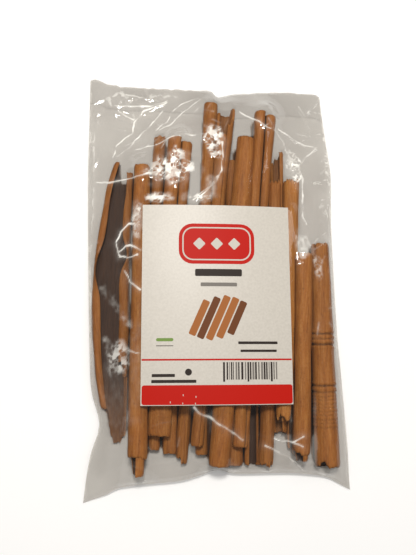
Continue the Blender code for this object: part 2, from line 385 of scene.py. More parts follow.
def torn_end(rag, steps, seed):
    """How much shorter the strip is at each place across, in mm."""
    depth = rag * (0.5 + 0.5 * unevenness(across * 9.0, 0.5, seed))
    depth += 0.5 * rag * unevenness(across * 31.0, 0.5, seed + 1)
    for start, end, cut in steps:
        depth += cut * ease((across - start) / 0.06) * (1 - ease((across - end) / 0.06))
    return depth


CRACK_REACH = 0.7


def crack_shade(face):
    """How far into the crack between two scrolls each place of a section's outer face lies, as painted shade.
    """
    half = len(face) // 2
    apart = np.linalg.norm(face[:half, None] - face[None, half:], axis=2)
    nearest = np.concatenate([apart.min(axis=1), apart.min(axis=0)])
    return ease(1.5 - nearest / CRACK_REACH) * (np.abs(across) > 0.3)


# %% [markdown]
# With these a stick can be swept from end to end. At each row the strip is curled, sized to the stick's
# radius there, tilted with its lean and pushed out and in by its relief. The sizes are in millimetres. A
# rib or a dent is given by its height, how many there are across half the strip, and its length.

# %% A stick from end to end
END_ROWS = (0.25, 0.6, 1.0)
END_DRAW, END_ROUNDING = 0.13, 0.6
OPENING_REACH = 13
SWELLS = 0.035
UNEVEN_CURL = 0.07
RIBS = ((0.07, 34, 16), (0.05, 60, 5))
DENTS_ACROSS, DENT_LENGTH = 7, 13
RING_DEPTH = 0.45
SCAR_SHADE = 0.8
SETTLED = 0.9
STRIP_WIDTH = 2.2


def quill_points(quill, plan, height, radius, seed):
    """Grids over a quill: its outer and inner faces, the strip's own coordinates, and its scars and painted
    crack shade.
    """
    top, length = plan[0, 1], plan[0, 1] - plan[-1, 1]
    lean = (plan[-1, 0] - plan[0, 0]) / length
    flatness = np.broadcast_to(quill.get("tall", 0.94), SAMPLES)
    top_tear = torn_end(quill.get("rag", 0.5), quill.get("top_steps", ()), seed)
    bottom_tear = torn_end(quill.get("rag", 0.5), quill.get("bottom_steps", ()), seed + 2)
    thickness, hand = quill.get("thickness", 0.95), -1 if quill.get("mirrored") else 1
    near_end = np.array(END_ROWS) / length
    rows = np.linspace(0.0, 1.0, int(length / quill.get("spacing", 1.5)) + 2)
    outer, inner, grain, scar_and_crack_shade = [], [], [], []
    for row in np.sort(np.concatenate([rows, near_end, 1 - near_end])):
        y = top - top_tear + (bottom_tear + top_tear - length) * row
        at = (top - y) / length
        loosen = 1 + UNEVEN_CURL * unevenness(row * length / 45, 4.5, seed + 4)
        for place, amount in quill.get("loose", ()):
            loosen -= amount * np.exp(-(((top - row * length - place) / OPENING_REACH) ** 2))
        roll = quill.get("turn", 0.0) + quill.get("wind", 0.0) * row
        roll += quill.get("twist", 6.0) * unevenness(row * length / 60, 7.5, seed + 5)
        from_ends = np.array([row, 1 - row]) * length
        drawn_in = 1 - END_DRAW * np.exp(-from_ends / END_ROUNDING).sum()
        swell = 1 + SWELLS * unevenness(at * length / 22, 1.5, seed + 3)
        size = 2 * np.interp(at, share, radius) * swell * drawn_in
        tall = np.interp(at, share, flatness)
        room = np.stack([size * quill.get("broad", 1.0), size * tall], axis=1) - thickness
        path, inward = curl_section(quill.get("curl", "round"), loosen, np.radians(roll), room)
        path, inward = path * [hand, 1], inward * [hand, 1]
        y = y + path[:, 0] * lean
        ribs = sum(rise * unevenness(across * count, y / long, seed + 6 + step)
                   for step, (rise, count, long) in enumerate(RIBS))
        dents = quill.get("dents", 0.22) * unevenness(across * DENTS_ACROSS, y / DENT_LENGTH, seed + 8)
        wavy = y + 0.7 * unevenness(across * 4, 3.5, seed + 9) + 0.1 * unevenness(across * 16, 5.5, seed + 10)
        rings = ring_relief(wavy, quill.get("rings", ()))
        rings = rings * (0.85 + 0.3 * unevenness(across * 5, y / 2.5, seed + 12))
        relief = ribs + dents + rings
        out = path - inward * (thickness / 2 + relief)[:, None]
        within = path + inward * (thickness / 2 - 0.5 * relief)[:, None]
        x = np.interp(at, share, plan[:, 0])
        z = np.interp(at, share, height) + size / 2 * (1 - tall) * SETTLED
        # Painted shade in the crack, and the sunken rings darker by their depth, go into one share.
        painted_crack_shade = quill.get("painted_crack_shade", 0.0) * crack_shade(out)
        scar_and_crack_shade.append(np.maximum(SCAR_SHADE * np.clip(-rings / RING_DEPTH, 0.0, 1.0), painted_crack_shade))
        outer.append(np.stack([out[:, 0] + x, y, out[:, 1] + z], axis=1))
        inner.append(np.stack([within[:, 0] + x, y, within[:, 1] + z], axis=1))
        grain.append(np.stack([across * size * STRIP_WIDTH, y], axis=1))
    return np.array(outer), np.array(inner), np.array(grain), np.array(scar_and_crack_shade)


# %% [markdown]
# ### Cassia bark
# Scraped cassia is a dry, matt, red-brown bark with a fine lengthwise fibre, some fibres much darker,
# pale flecks where the scraper went deeper, and a smooth, nearly black-brown inner face. Dry wood-like
# surfaces have an IOR near 1.5 and a roughness of 0.6 to 0.8. The strip's own coordinates, in
# millimetres across and along, carry the pattern, so the fibre follows every curl and bow. Fibres are
# about 0.3 mm apart, and are drawn at twice that so that they show. The colour is built up as a painter
# would: two tones mixed, then dark fibres, pale flecks and pits, each laid on where its own noise is
# high or low, and last what belongs to a place: the inner face, the dark of the sunken scar rings, and
# painted shade along the crack between two scrolls.

# %% The bark material
FIBRE_MM = 0.6
FIBRE_LENGTH_MM = 8.0
STICKS_APART = 73.0

bark = new_material("cassia bark")
grain = add(bark, "Attribute", attribute_name="grain")
tone = add(bark, "Attribute", attribute_name="tone")
parts = add(bark, "SeparateXYZ", {"Vector": grain.outputs["Vector"]})


def stretched_noise(width_mm, length_mm, detail, roughness=0.6):
    """Noise on the strip's own coordinates, with a different part of it on each stick."""
    across_scale = add(bark, "Math", {0: parts.outputs["X"]}, {1: width_mm}, operation="DIVIDE")
    along_scale = add(bark, "Math", {0: parts.outputs["Y"]}, {1: length_mm}, operation="DIVIDE")
    apart = add(bark, "Math", {0: tone.outputs["Fac"]}, {1: STICKS_APART}, operation="MULTIPLY")
    links = {"X": across_scale.outputs[0], "Y": along_scale.outputs[0], "Z": apart.outputs[0]}
    place = add(bark, "CombineXYZ", links)
    values = {"Scale": 1.0, "Detail": detail, "Roughness": roughness}
    return add(bark, "TexNoise", {"Vector": place.outputs["Vector"]}, values).outputs["Fac"]


fibres = stretched_noise(FIBRE_MM, FIBRE_LENGTH_MM, 5.0)
bands = stretched_noise(3.0, 22.0, 3.0)
dark_fibres = stretched_noise(0.9, 26.0, 3.0, 0.5)
flecks = stretched_noise(0.9, 1.2, 4.0, 0.7)

# %% The colour of the skin
FIBRE_TONES = ((0.30, "#9A5C24"), (0.50, "#C17C34"), (0.70, "#DFA45C"))
BAND_TONES = ((0.30, "#9A5A1E"), (0.5, "#C47C2E"), (0.7, "#D9954A"))
INNER_TONES = ((0.3, "#2C1C13"), (0.7, "#4C3322"))
STICK_TONES = ((0.0, "#BFB8B0"), (0.5, "#D2D0CD"), (1.0, "#DEE2E4"))
SKIN_LAYERS = (
    (dark_fibres, ((0.62, "#000000"), (0.72, "#8C8C8C")), "#6F3D18"),        # dark fibres
    (flecks, ((0.56, "#000000"), (0.70, "#8C8C8C")), "#DDAF7C"),             # pale flecks
    (flecks, ((0.30, "#BEBEBE"), (0.45, "#000000")), "#70421E"),             # pits
)
SHARE, UNDER, OVER, MIXED = 0, 6, 7, 2        # a Mix node's sockets when it mixes colours

fibre_tone, band_tone, inner_tone, stick_tone = (
    add(bark, "ValToRGB", {"Fac": source}, stops=stops).outputs["Color"]
    for source, stops in ((fibres, FIBRE_TONES), (bands, BAND_TONES), (fibres, INNER_TONES),
                          (tone.outputs["Fac"], STICK_TONES))
)
links = {UNDER: fibre_tone, OVER: band_tone}
skin = add(bark, "Mix", links, {SHARE: 0.5}, data_type="RGBA").outputs[MIXED]
for noise, shares, colour in SKIN_LAYERS:
    laid_on = add(bark, "ValToRGB", {"Fac": noise}, stops=shares).outputs["Color"]
    links, values = {SHARE: laid_on, UNDER: skin}, {OVER: linear(colour)}
    skin = add(bark, "Mix", links, values, data_type="RGBA").outputs[MIXED]
links = {UNDER: skin, OVER: stick_tone}
skin = add(bark, "Mix", links, {SHARE: 1.0}, data_type="RGBA", blend_type="MULTIPLY").outputs[MIXED]
links = {SHARE: parts.outputs["Z"], UNDER: skin, OVER: inner_tone}
skin = add(bark, "Mix", links, data_type="RGBA").outputs[MIXED]
# Scar rings darker by their depth, and painted shade in the crack between two scrolls.
scar_and_crack_shade = add(bark, "Attribute", attribute_name="scar_and_crack_shade")
links = {SHARE: scar_and_crack_shade.outputs["Fac"], UNDER: skin}
skin = add(bark, "Mix", links, {OVER: linear("#2E180A")}, data_type="RGBA").outputs[MIXED]

# %% The relief and the shader
links = {UNDER: fibres, OVER: flecks}
fibre_height = add(bark, "Mix", links, {SHARE: 0.35}, data_type="RGBA").outputs[MIXED]
fibre_bump = add(bark, "Bump", {"Height": fibre_height}, {"Strength": 0.55, "Distance": 0.25 * MM})
bark_links = {"Base Color": skin, "Normal": fibre_bump.outputs["Normal"]}
bark_values = {"Roughness": 0.68, "IOR": 1.48, "Specular IOR Level": 0.35}
bark_shader = add(bark, "BsdfPrincipled", bark_links, bark_values)
add(bark, "OutputMaterial", {"Surface": bark_shader.outputs["BSDF"]})
print("bark:", len(bark.node_tree.nodes), "nodes")

# %% [markdown]
# ### The form of each stick
# The first list says where the sticks lie. This one says how each is formed, as the photograph shows it:
#
# - `curl` is one of the curls above, and `loose` opens it round given places along y, by a share.
# - `turn` rolls the stick about its length, in degrees, and `wind` adds more of it towards the bottom.
#   At 0 a roll's outer edge is underneath and a scroll's crack is on top.
# - `broad` and `tall` are its width and height against its diameter.
# - `rag` is how rough its ends are torn, in mm. `top_steps` and `bottom_steps` break part of an end
#   away: from and to across the strip, and how deep.
# - `tone` is how light its skin is, and its crack setting how much painted shade darkens the line
#   where its two scrolls meet.
# - `inner_dark` is how dark its inner face is, all over or at even steps from its top to its bottom.

# %% How each stick is formed
FORMS = {
    "under_left": dict(curl="round", turn=40),
    "slim_left": dict(curl="tight", turn=100, mirrored=True, rag=0.9, top_steps=((-1.0, -0.45, 1.6),)),
    "under_label_left": dict(curl="double", turn=180, broad=1.1, tall=0.85, rag=1.0, tone=0.15),
    "tall_middle": dict(curl="round", turn=-20, rag=0.5, tone=0.2),
    "dark_middle": dict(curl="double", turn=160, broad=1.05, tall=0.86, rag=0.8, tone=0.1),
    "open_low": dict(curl="open", turn=-20, broad=1.05, tall=0.9, rag=1.2, tone=0.12),
    "open_thin": dict(curl="open", turn=18, tall=0.9, rag=1.0, inner_dark=0.5, tone=0.3,
                      top_steps=((-1.1, 0.35, 1.6), (-1.1, 0.1, 1.4), (-1.1, -0.3, 3.0))),
    "under_right": dict(curl="round", turn=90),
    "thick_right": dict(curl="round", turn=-10, rag=1.4, spacing=0.6, tone=0.28,
                        bottom_steps=((0.0, 0.13, 2.2), (-0.05, 0.3, 1.2))),
    "sliver_right": dict(curl="open", turn=10, rag=1.5),
    "long_left": dict(curl="tight", turn=-25, rag=1.0, tone=0.38,
                      bottom_steps=((-1.1, 0.33, 7.5), (-0.3, 0.33, 1.5))),
    "double_left": dict(curl="double", turn=-26, wind=-70, broad=1.34, tall=0.84, rag=0.8, tone=0.16,
                        painted_crack_shade=0.8, top_steps=((0.0, 1.1, 2.0),), bottom_steps=((0.2, 0.5, 2.5),),
                        loose=((58, 0.16),)),
    "short_middle": dict(curl="shallow", turn=180, broad=1.08, tall=0.7, rag=2.4, tone=0.18,
                         bottom_steps=((0.1, 1.1, 2.0),)),
    "curled_middle": dict(curl="single", turn=200, mirrored=True, rag=0.7, inner_dark=0.4, tone=0.24,
                          top_steps=((-1.1, -0.62, 7.0), (-1.1, -0.85, 4.0), (-0.36, 1.1, 3.6),
                                     (0.55, 1.1, 13.0))),
    "round_middle": dict(curl="round", turn=-30, rag=0.6),
    "double_right": dict(curl="double", turn=-8, wind=-60, broad=1.1, tall=0.86, rag=0.5, tone=0.22,
                         painted_crack_shade=1.0, top_steps=((0.0, 1.1, 1.6),), loose=((98, 0.05), (20, 0.06), (45, 0.10))),
    "short_right": dict(curl="shallow", turn=180, broad=1.1, tall=0.75, rag=3.0, tone=0.14,
                        bottom_steps=((-0.9, -0.4, 2.0),)),
    "jagged_right": dict(curl="double", turn=175, broad=1.02, tall=0.85, rag=3.0),
    "round_right": dict(curl="tight", turn=-35, rag=0.9, tone=0.3,
                        bottom_steps=((-1.1, 0.36, 3.0), (-0.05, 0.36, 1.5))),
    "wide_bark": dict(curl="wide", turn=-2, rag=1.0, dents=0.4, loose=((12, 0.42), (62, 0.1)),
                      inner_dark=(1.0, 1.0, 1.0, 1.0, 0.5),
                      top_steps=((-0.3, 1.1, 5.5), (-0.16, 0.42, 3.5), (-0.05, 0.3, 2.0)),
                      bottom_steps=((-1.1, -0.42, 3.0), (-1.1, -0.3, 6.0), (-1.1, -0.2, 5.0),
                                    (-1.1, -0.08, 3.0), (0.3, 1.1, 3.0), (0.55, 1.1, 30.0),
                                    (0.75, 1.1, 8.0))),
}
LEAF_SCARS = (
    (-13.8, 0.3, 0.9), (-15.0, -0.6, 0.6), (-16.2, 0.45, 0.7), (-17.8, -0.3, 0.5), (-19.0, 0.4, 0.8),
    (-20.6, -0.6, 0.6), (-22.0, 0.4, 0.8), (-40.4, 0.35, 0.8), (-41.8, -0.6, 0.5), (-43.4, 0.3, 0.9),
    (-45.0, -0.4, 0.5),
)
RIDGES = tuple((-46.6 - 1.3 * step - 0.35 * (step % 3), 0.2 + 0.1 * (step % 2), 0.4) for step in range(13))
GROOVES = tuple((place - 0.65, -0.17, 0.35) for place, _, _ in RIDGES)
FORMS["thick_right"]["rings"] = LEAF_SCARS + RIDGES + GROOVES
print(len(FORMS), "sticks are formed, one with", len(FORMS["thick_right"]["rings"]), "rings")

# %% [markdown]
# One strip is far wider than the rest: the bark at the left edge, which stayed open, with a scroll along
# each side and its dark inner face between them. The two quill lines at its sides give its outline.

# %% The wide open bark
WIDE_BARK_TALL = 6.6


def wide_bark_line(left, right):
    """Middle line, heights, half widths and flatness of the strip between two quill lines."""
    (left_plan, _, left_radius), (right_plan, _, right_radius) = left, right
    y = np.linspace(left_plan[0, 1], right_plan[-1, 1], SAMPLES)
    left_edge = np.interp(-y, -left_plan[:, 1], left_plan[:, 0] - left_radius)
    right_edge = np.interp(-y, -right_plan[:, 1], right_plan[:, 0] + right_radius)
    half = (right_edge - left_edge) / 2
    flatness = WIDE_BARK_TALL / 2 / half
    height = REST_CLEARANCE + WIDE_BARK_TALL / 2 - half * (1 - flatness) * SETTLED
    return np.stack([(left_edge + right_edge) / 2, y], axis=1), height, half, flatness


# %% Every stick as a mesh
def paint(piece, name, values, kind="FLOAT"):
    """Stores values at a piece's points under a name, for its material to read."""
    entry = "vector" if kind == "FLOAT_VECTOR" else "value"
    piece.data.attributes.new(name, kind, "POINT").data.foreach_set(entry, np.ravel(values))


def quill_piece(name, form, plan, height, radius, seed):
    """One stick as a closed mesh that carries its grain, its tone, and its scars and painted crack shade."""
    outer, inner, grain_mm, scars_and_crack_shade = quill_points(form, plan, height, radius, seed)
    rows, columns = outer.shape[:2]
    piece = shell(name, outer, inner, bark)
    dark = np.atleast_1d(form.get("inner_dark", 1.0))
    down_stick = np.interp(np.linspace(0, 1, rows), np.linspace(0, 1, len(dark)), dark)
    both = np.concatenate([grain_mm, grain_mm[:, ::-1]], axis=1)
    values = np.dstack([both, np.outer(down_stick, np.repeat([0.0, 1.0], columns))])
    paint(piece, "grain", values, "FLOAT_VECTOR")
    any_tone = np.random.default_rng(seed).uniform(0.0, 1.0)
    paint(piece, "tone", np.full(rows * 2 * columns, form.get("tone", any_tone)))
    paint(piece, "scar_and_crack_shade", np.concatenate([scars_and_crack_shade, np.zeros_like(scars_and_crack_shade)], axis=1))
    return piece


sticks = []
for seed, (name, form) in enumerate(FORMS.items(), start=3):
    if name == "wide_bark":
        *line, form["tall"] = wide_bark_line(laid["wide_bark_left"], laid["wide_bark_right"])
    else:
        line = laid[name]
    sticks.append(quill_piece(name, form, *line, 11 * seed))
print(len(sticks), "sticks,", sum(2 * len(stick.data.polygons) for stick in sticks), "triangles")

# %% [markdown]
# ## The film
# Biaxially oriented polypropylene film, as spice bags are made of, is about 0.04 mm thick, glass-clear
# and stiff enough to keep every sharp crease it is given. It shows by its reflections: it is seen through
# almost everywhere, mirrors a lamp wherever its slope is right, and whitens along a crease, where the
# stretched plastic scatters light. At this scale it is a surface without thickness.
#
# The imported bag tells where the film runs. Its plan outline is read off the model's upright rim, and a
# Coons patch, which blends the four sides of the outline, fills it with an even net of points. The top
# edge was folded over by hand, so it runs a little ragged.

# %% The outline of the bag
def packed(name):
    """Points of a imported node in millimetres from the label's centre, and its faces."""
    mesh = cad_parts[name].data
    points = np.array([vertex.co for vertex in mesh.vertices])
    return (points - [*label_centre, 0.0]) / MM, [tuple(face.vertices) for face in mesh.polygons]


bag_points, bag_faces = packed("bag")
upright = [face.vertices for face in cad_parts["bag"].data.polygons if abs(face.normal.z) < 0.02]
rim = np.unique(np.round(bag_points[sorted({index for face in upright for index in face})][:, :2], 2), axis=0)
rim_middle = (rim.min(axis=0) + rim.max(axis=0)) / 2
from_middle = rim - rim_middle
rim = rim[np.argsort(np.arctan2(from_middle[:, 1], from_middle[:, 0]))]
rim_size = np.ptp(rim, axis=0)
CORNERS = {"bottom left": (-1, -1), "bottom right": (1, -1), "top right": (1, 1), "top left": (-1, 1)}
corner_at = {name: int(np.argmax((rim / rim_size) @ way)) for name, way in CORNERS.items()}
print(len(rim), "rim points, corners at", corner_at)


def rim_side(start, end, count):
    """Evenly spaced points along the rim, anticlockwise from one corner to the next."""
    first, last = corner_at[start], corner_at[end]
    indices = np.arange(first, last + 1 + (len(rim) if last < first else 0)) % len(rim)
    points = rim[indices]
    walked = np.concatenate([[0.0], np.cumsum(np.linalg.norm(np.diff(points, axis=0), axis=1))])
    at = np.linspace(0.0, walked[-1], count)
    return np.stack([np.interp(at, walked, points[:, axis]) for axis in (0, 1)], axis=1)


RAGGED_TOP = 0.45


def film_plan(rows, columns):
    """A net of plan points that fills the bag's outline, top row first."""
    top = rim_side("top right", "top left", columns)[::-1][None]
    bottom = rim_side("bottom left", "bottom right", columns)[None]
    left = rim_side("top left", "bottom left", rows)[:, None]
    right = rim_side("bottom right", "top right", rows)[::-1][:, None]
    u, v = np.linspace(0, 1, columns)[None, :, None], np.linspace(0, 1, rows)[:, None, None]
    upper = (1 - u) * top[:, :1] + u * top[:, -1:]
    lower = (1 - u) * bottom[:, :1] + u * bottom[:, -1:]
    net = (1 - v) * top + v * bottom + (1 - u) * left + u * right - (1 - v) * upper - v * lower
    ragged = 1 + unevenness(net[..., 0] / 2.6, 3.5, 57)
    net[..., 1] -= RAGGED_TOP * ragged * (1 - ease(v[..., 0] * 50)) * ease(15 * u * (1 - u))[..., 0]
    return net


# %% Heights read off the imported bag
RAY_START = 60.0


def height_reader(points, faces, way):
    """A function that finds how high a surface is at plan points, seen from above or from below."""
    tree = BVHTree.FromPolygons(points.tolist(), faces)
    start = -RAY_START * way

    def read(plan):
        found = [tree.ray_cast((x, y, start), (0, 0, way))[0] for x, y in plan.reshape(-1, 2)]
        heights = np.array([np.nan if place is None else place.z for place in found])
        return heights.reshape(plan.shape[:-1])

    return read


def smoothed(heights, passes):
    """A net of heights, softened; its rim stays."""
    heights = heights.copy()
    for _ in range(passes):
        inside = heights[1:-1, 1:-1]
        ring = heights[:-2, 1:-1] + heights[2:, 1:-1] + heights[1:-1, :-2] + heights[1:-1, 2:]
        heights[1:-1, 1:-1] = (inside + ring / 4) / 2
    return heights


def draped(supports, steepest, passes=26):
    """The lowest net of heights over the supports that falls away from them no steeper than a slope."""
    heights, drop = supports.copy(), steepest * NET_SPACING
    for _ in range(passes):
        for over in (heights, heights.T):
            np.maximum(over[1:], over[:-1] - drop, out=over[1:])
            np.maximum(over[:-1], over[1:] - drop, out=over[:-1])
    return heights


def rim_value(values):
    """Spreads the values on a net's rim inwards: each place takes the value at its nearest side."""
    row, column = np.indices(values.shape)
    side = np.argmin([row, len(values) - 1 - row, column, values.shape[1] - 1 - column], axis=0)
    return np.choose(side, [values[:1], values[-1:], values[:, :1], values[:, -1:]])


FILM_ROWS, FILM_COLUMNS = 400, 240
NET_SPACING = 0.58
RIM_INSET = 0.998
RIM_TOP, RIM_BACK = 4.5, 4.0        # for places at the very rim, where no ray meets the bag
SEAM_ABOVE_BACK = 0.5
plan = film_plan(FILM_ROWS, FILM_COLUMNS)
inset_plan = rim_middle + (plan - rim_middle) * RIM_INSET
bag_top = height_reader(bag_points, bag_faces, -1)(inset_plan)
read_bag_back = height_reader(bag_points, bag_faces, 1)
print("film net:", plan.shape[:2], "missed:", int(np.isnan(bag_top).sum()))
film_height = smoothed(np.nan_to_num(bag_top, nan=RIM_TOP), 10)
seam_height = rim_value(np.nan_to_num(read_bag_back(inset_plan), nan=RIM_BACK)) + SEAM_ABOVE_BACK

# %% [markdown]
# ### Creases
# A crease in stiff film is a sharp ridge with two flanks that flatten out. The long ones are listed as
# they run in the photograph. Each has its height, its reach, how white it is, and its points in plan.
# The white is partly the crease's stress-whitening and partly a painted highlight, the bright line a
# lamp draws along it, with a faint painted glow beside it. Fine creases in the loose margins are drawn
# at random. A crumpled patch is different: there the film breaks into small flat facets, each with a
# tilt and a painted shine of its own, with creases between them. Last come patches of painted sheen
# and streaks of painted glints.

# %% The creases that show
CREASES = (
    (0.45, 1.2, 0.9, ((-55, 113), (-35, 113), (-26, 116))),
    (0.35, 1.0, 0.7, ((-53, 120), (-40, 118), (-30, 116))),
    (0.60, 1.4, 1.0, ((-26, 115), (-39, 110), (-44, 103), (-45, 96), (-53, 89), (-55, 81))),
    (0.40, 1.0, 0.8, ((-53, 110), (-44, 105))),
    (0.50, 1.2, 0.8, ((-28, 110), (-39, 96), (-47, 86), (-53, 82))),
    (0.40, 1.0, 0.7, ((-8, 118), (-18, 114), (-23, 109), (-26, 102), (-32, 97))),
    (0.40, 1.0, 0.7, ((-7, 117), (-19, 106), (-24, 100), (-30, 97))),
    (0.45, 1.2, 0.8, ((-43, 85), (-33, 87), (-25, 89), (-16, 91), (-6, 93))),
    (0.50, 1.3, 0.9, ((-64, 67), (-45, 67), (-39, 68), (-32, 70))),
    (0.45, 1.6, 0.95, ((4.3, 88), (4.2, 80), (3, 71), (0, 65), (-4, 60.5), (-9, 55))),
    (0.45, 1.4, 0.8, ((1, 68), (-3, 62), (-7, 59), (-12, 54))),
    (0.50, 1.4, 0.8, ((14, 106), (28, 96), (34, 95), (38, 91), (39, 86), (44, 80))),
    (0.40, 1.2, 0.7, ((35, 97), (42, 95), (47, 92), (57, 90))),
    (0.45, 1.3, 0.7, ((58, 90), (51, 83), (48, 79))),
    (0.45, 1.6, 0.8, ((46, 78), (49, 70), (48, 60), (47, 47), (49, 43))),
    (0.45, 0.9, 0.9, ((-42, 41), (-45, 42), (-50, 38), (-52, 33), (-51, 27), (-50, 25), (-46, 24),
                      (-41, 25))),
    (0.35, 0.8, 0.9, ((-51, 27), (-47, 30), (-44, 30), (-39, 27))),
    (0.35, 0.8, 0.8, ((-47, 17), (-45, 14), (-44, 11), (-39, 7))),
    (0.20, 0.8, 0.5, ((-45, -24), (-39, -25))),
    (0.30, 0.9, 0.6, ((-12, -52), (-9, -55), (-4, -57), (2, -61), (13, -68))),
    (0.30, 0.9, 0.7, ((29, -68), (34, -69), (38, -70), (43, -67))),
    (0.25, 0.9, 0.6, ((38, -70), (41, -71), (43, -72))),
    (0.30, 1.0, 0.5, ((24, -71), (30, -74), (36, -77), (44, -84))),
    (0.40, 1.2, 0.7, ((62, 121), (58, 116), (54, 111))),
    (0.30, 1.0, 0.4, ((-66, 100), (-65, 60), (-66, 20), (-65, -20))),
)


def distance_to_line(places, line):
    """Distance in plan from each place to a line through the given points."""
    nearest = np.full(places.shape[:-1], np.inf)
    for start, end in zip(np.array(line[:-1], float), np.array(line[1:], float)):
        run = end - start
        along = np.clip(((places - start) @ run) / (run @ run), 0.0, 1.0)
        nearest = np.minimum(nearest, np.linalg.norm(places - start - along[..., None] * run, axis=-1))
    return nearest


x, y = plan[..., 0], plan[..., 1]
wander = np.stack([unevenness(x / 4, y / 4, 51), unevenness(x / 4, y / 4, 52)], axis=-1)
crease_height = np.zeros(x.shape)
whitening_and_painted_highlight = np.zeros(x.shape)
WANDER_MM = 0.45
RIDGE_ROUNDING = 0.3
CREASE_GLOW, GLOW_REACH = 0.16, 1.3


def press_crease(height, reach, white, line):
    """Adds one crease to the film's height and to its white share: stress-whitening and a painted highlight.
    """
    away = distance_to_line(plan + WANDER_MM * wander, line)
    crease_height[...] += height * np.exp(-(np.hypot(away, RIDGE_ROUNDING) - RIDGE_ROUNDING) / reach)
    patchy = 0.72 + 0.55 * unevenness(x / 3.0, y / 3.0, 53)
    width = 0.42 + 0.24 * unevenness(x / 4, y / 4, 54)
    # Beside the crease lies a faint painted glow.
    glow = CREASE_GLOW * np.exp(-away / GLOW_REACH)
    whitening_and_painted_highlight[...] = np.maximum(whitening_and_painted_highlight, white * patchy * np.maximum(ease(1.3 - away / width), glow))


for crease in CREASES:
    press_crease(*crease)
print(len(CREASES), "long creases")

# %% Creases along the side seams
SEAM_INSET = (0.992, 0.997)
# As on every crease, their white is stress-whitening and a painted highlight along the seam.
for start, end in (("top left", "bottom left"), ("bottom right", "top right")):
    seam_line = rim_middle + (rim_side(start, end, 40) - rim_middle) * SEAM_INSET
    press_crease(0.2, 0.7, 0.35, seam_line)

# %% Fine creases in the loose margins
LOOSE_AREAS = (
    ((-66, 80), (-20, 122), 26, 9.0),
    ((-20, 96), (62, 116), 22, 8.0),
    ((60, 52), (66, 112), 16, 5.0),
    ((-68, -20), (-60, 110), 14, 6.0),
    ((-64, -96), (64, -70), 12, 7.0),
    ((52, -40), (66, 60), 12, 6.0),
    ((-36, -82), (50, -54), 7, 5.0),
)
luck = np.random.default_rng(7)
for low, high, count, length in LOOSE_AREAS:
    for middle, angle, size in zip(luck.uniform(low, high, (count, 2)), luck.uniform(0, np.pi, count),
                                   luck.gamma(4.0, length / 8, count)):
        half = size * np.array([np.cos(angle), np.sin(angle)])
        ends = (middle - half, middle + half)
        press_crease(luck.uniform(0.08, 0.25), 0.8, luck.uniform(0.05, 0.5) ** 1.3, ends)

# %% Crumpled patches
FACET_MM = 1.9
CRUMPLES = (
    ((-22.0, 73.5), (10.0, 8.5), 1.0),
    ((-33.0, 70.0), (6.0, 2.2), 0.7),
    ((-1.2, 91.0), (5.0, 7.5), 1.0),
    ((0.5, 82.0), (3.5, 4.0), 0.6),
    ((-30.0, 55.5), (7.0, 3.0), 0.9),
    ((-8.4, 55.5), (6.0, 2.6), 0.9),
    ((-41.0, 44.0), (2.6, 9.0), 0.8),
    ((43.6, 80.0), (4.0, 7.0), 0.9),
    ((45.0, 71.0), (3.0, 5.0), 0.8),
    ((-50.5, -28.0), (6.0, 8.0), 0.55),
    ((54.0, 20.0), (3.0, 6.0), 0.4),
    ((45.5, 27.0), (2.6, 3.0), 0.35),
    ((-52.0, 117.0), (9.0, 4.0), 0.5),
    ((-30.0, 119.0), (10.0, 2.5), 0.4),
    ((64.0, 92.0), (1.8, 22.0), 0.5),
    ((-67.0, 88.0), (1.8, 10.0), 0.4),
)


def crumple(middle, reach, strength):
    """Adds a crumpled patch: flat facets, each with its own tilt and painted shine, with creases between."""
    count = int(9 * reach[0] * reach[1] / FACET_MM**2) + 4
    hubs = luck.uniform(-1.5, 1.5, (count, 2)) * reach + middle
    tilt = luck.uniform(-0.55, 0.55, (count, 2))
    painted_shine = 0.06 + 0.94 * ease((luck.random(count) - 0.55) / 0.22)
    within = np.linalg.norm((plan - middle) / reach, axis=-1) < 1.6
    places = plan[within] + 0.3 * wander[within]
    away = np.linalg.norm(places[:, None] - hubs[None], axis=2)
    first, second = np.partition(away, 1, axis=1)[:, :2].T
    facet = away.argmin(axis=1)
    crease = ease(1.15 - (second - first) / 0.5) * (0.6 + 0.4 * painted_shine[facet])
    far = np.linalg.norm((places - middle) / reach, axis=-1)
    far += 0.35 * unevenness(places[:, 0] / 3, places[:, 1] / 3, 63)
    patch = ease(1.7 - 1.3 * far) * strength
    rise = ((places - hubs[facet]) * tilt[facet]).sum(axis=1)
    crease_height[within] += patch * (0.35 + rise + 0.25 * crease)
    # Painted highlight: each facet's shine, and the creases between facets, whiten the film.
    whitening_and_painted_highlight[within] = np.maximum(whitening_and_painted_highlight[within], patch * np.maximum(painted_shine[facet], 0.85 * crease))


for patch in CRUMPLES:
    crumple(*patch)
print(len(CRUMPLES), "crumpled patches")

# %% Painted sheen and glints
# Patches of painted sheen, where the film looks milky and bright, and streaks of painted glints.
PAINTED_SHEEN_PATCHES = (
    ((-50, -48), (8.0, 22.0), 0.05),
    ((46, 32), (3.8, 6.0), 0.4),
    ((-41, 44), (2.6, 9.0), 0.3),
    ((-8, 56), (8.0, 3.0), 0.3),
    ((-3, 61), (3.0, 6.0), 0.25),
    ((-22, 72), (12.0, 9.0), 0.12),
    ((44, 76), (5.0, 10.0), 0.2),
    ((-40, -30), (4.0, 20.0), 0.05),
)
painted_sheen_and_glints = np.zeros(x.shape)
for middle, reach, strength in PAINTED_SHEEN_PATCHES:
    far = np.linalg.norm((plan - middle) / reach, axis=-1) + 0.4 * unevenness(x / 3.5, y / 4.5, 68)
    painted_sheen_and_glints = np.maximum(painted_sheen_and_glints, strength * ease(1.5 - far) * (0.75 + 0.5 * unevenness(x / 1.4, y / 1.8, 69)))

